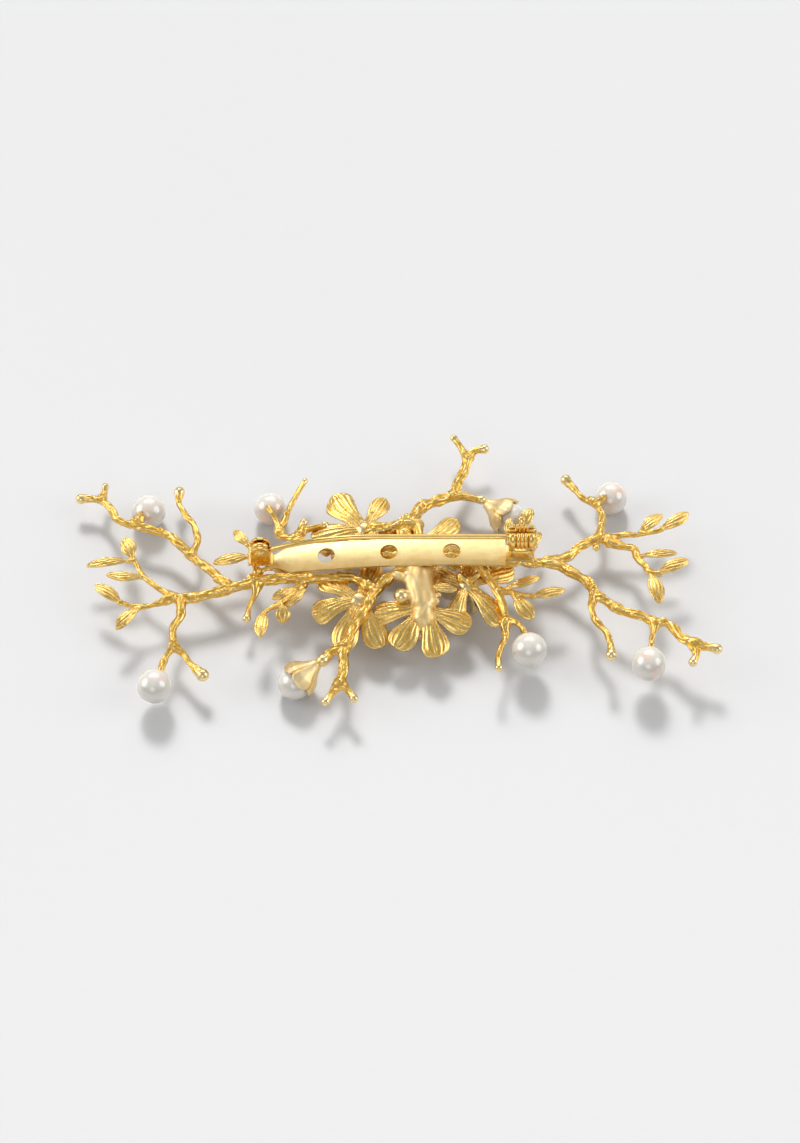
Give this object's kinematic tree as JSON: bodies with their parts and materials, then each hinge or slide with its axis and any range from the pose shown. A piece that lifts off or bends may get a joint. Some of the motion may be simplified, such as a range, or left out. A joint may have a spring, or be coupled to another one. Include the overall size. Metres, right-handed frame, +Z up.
{
  "type": "brooch",
  "caption": "Flowering-branch brooch with leaves, blossoms, pearls in buds and on twig stubs, and a hinged pin back with a turning safety catch.",
  "frame": {"origin": "middle of the footprint on the surface that the brooch lies on, face down", "axes": "+Z up towards the pin side, +X from the pin's hinge to its catch, +Y across the brooch"},
  "size_m": [0.0936, 0.0463, 0.014],
  "materials": {
    "cast_gold": "bark and leaf textured casting, gold plated",
    "satin_gold": "satin, gold plated",
    "brushed_gold": "finely brushed across its length, gold plated",
    "polished_gold": "polished, gold plated",
    "pearl": "soft pearl lustre"
  },
  "bodies": {
    "brooch": {"pin_bar": "brushed_gold", "hinge_rivet": "polished_gold", "catch_rings": "polished_gold", "hub_casting": "satin_gold", "left_main_bough": "cast_gold", "left_upper_bough": "cast_gold", "left_upper_twig": "cast_gold", "left_lower_bough": "cast_gold", "left_far_spray": "cast_gold", "hinge_leaf_twig": "cast_gold", "lower_left_spray": "cast_gold", "upper_left_sprig": "cast_gold", "lower_bough": "cast_gold", "upper_bough": "cast_gold", "right_main_bough": "cast_gold", "right_upper_twig": "cast_gold", "right_leaf_spray": "cast_gold", "right_tip_leaves": "cast_gold", "right_lower_bough": "cast_gold", "right_down_twig": "cast_gold", "centre_twig": "cast_gold", "centre_leaf_spray": "cast_gold", "catch_leaves": "cast_gold", "blossom_centre": "cast_gold", "blossom_left": "cast_gold", "blossom_upper_left": "cast_gold", "blossom_right": "cast_gold", "blossom_upper_right": "cast_gold", "stamens_centre": "cast_gold", "stamens_left": "cast_gold", "stamens_upper_left": "cast_gold", "stamens_right": "cast_gold", "stamens_upper_right": "cast_gold", "lower_bud_cup": "satin_gold", "upper_bud_cup": "satin_gold", "pearl_pegs": "polished_gold", "pearl_left_upper": "pearl", "pearl_left_lower": "pearl", "pearl_upper_left": "pearl", "pearl_centre": "pearl", "pearl_right_upper": "pearl", "pearl_right_lower": "pearl", "pearl_lower_bud": "pearl", "pearl_upper_bud": "pearl"},
    "pin": {"pin_stem": "polished_gold"},
    "sleeve": {"catch_sleeve": "polished_gold"}
  },
  "joints": [
    {"name": "pin_hinge", "type": "hinge", "parent": "brooch", "child": "pin", "pos_m": [-0.0191, 0.0002, 0.00903], "axis": [0, -1, 0], "range_deg": [0, 95]},
    {"name": "catch_turn", "type": "hinge", "parent": "brooch", "child": "sleeve", "pos_m": [0.0184, 0.0002, 0.0121], "axis": [1, 0, 0], "range_deg": [0, 90]}
  ]
}
